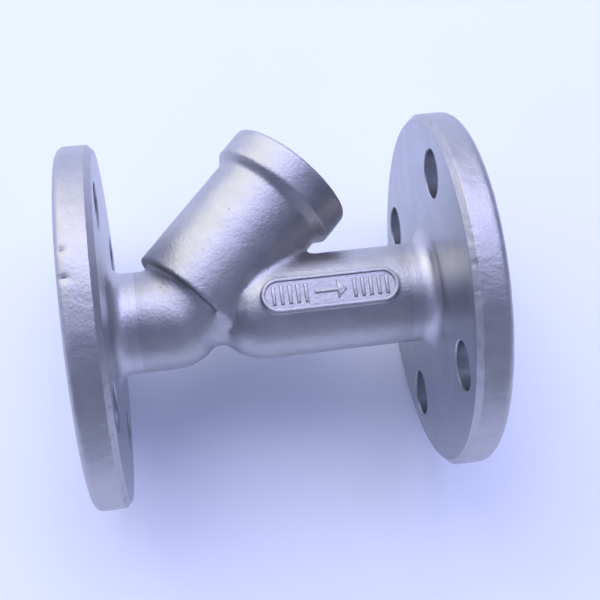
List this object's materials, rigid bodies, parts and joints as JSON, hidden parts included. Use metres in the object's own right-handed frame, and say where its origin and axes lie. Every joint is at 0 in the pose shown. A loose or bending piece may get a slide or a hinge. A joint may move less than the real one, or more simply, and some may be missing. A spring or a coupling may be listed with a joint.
{
  "type": "y strainer",
  "caption": "Flanged y strainer: a cast inline body between two round flanges, with a slanted screen leg, a removable perforated screen and a flush screwed cover.",
  "frame": {"origin": "centre of the inlet bore in the plane of the inlet flange's sealing face", "axes": "+X along the run in the direction of flow, +Y towards the side that the screen leg leans to, +Z out of the side that carries the rating plate"},
  "size_m": [0.15, 0.1375, 0.135],
  "materials": {
    "cast_stainless": "shot-blasted investment casting, satin grey",
    "turned_stainless": "turned, fine tool marks, dull where left as cast",
    "weld_metal": "dressed butt weld",
    "screen_stainless": "perforated sheet, mill finish",
    "woven_mesh": "fine woven wire cloth",
    "gasket_plastic": "white fluoropolymer, matte"
  },
  "bodies": {
    "housing": {"body_casting": "cast_stainless", "inlet_flange": "turned_stainless", "outlet_flange": "turned_stainless", "inlet_weld": "weld_metal", "outlet_weld": "weld_metal"},
    "screen": {"screen_tube": "screen_stainless", "screen_seam": "screen_stainless", "mesh_liner": "woven_mesh", "screen_lower_ring": "turned_stainless", "screen_upper_ring": "turned_stainless"},
    "gasket": {"cover_gasket": "gasket_plastic"},
    "cover": {"cover_plug": "turned_stainless"}
  },
  "joints": [
    {"name": "screen_withdraw", "type": "slide", "parent": "housing", "child": "screen", "axis": [0.7071, 0.7071, 0], "range_m": [0, 0.065]},
    {"name": "cover_travel", "type": "slide", "parent": "screen", "child": "gasket", "axis": [0.7071, 0.7071, 0], "range_m": [0, 0.0101]},
    {"name": "cover_turn", "type": "hinge", "parent": "gasket", "child": "cover", "pos_m": [0.08859, 0.05159, 0], "axis": [0.7071, 0.7071, 0], "range_deg": [0, 1800]}
  ],
  "couplings": [
    {"joint": "cover_travel", "follows": "cover_turn", "m_per_rad": 0.00031831}
  ]
}
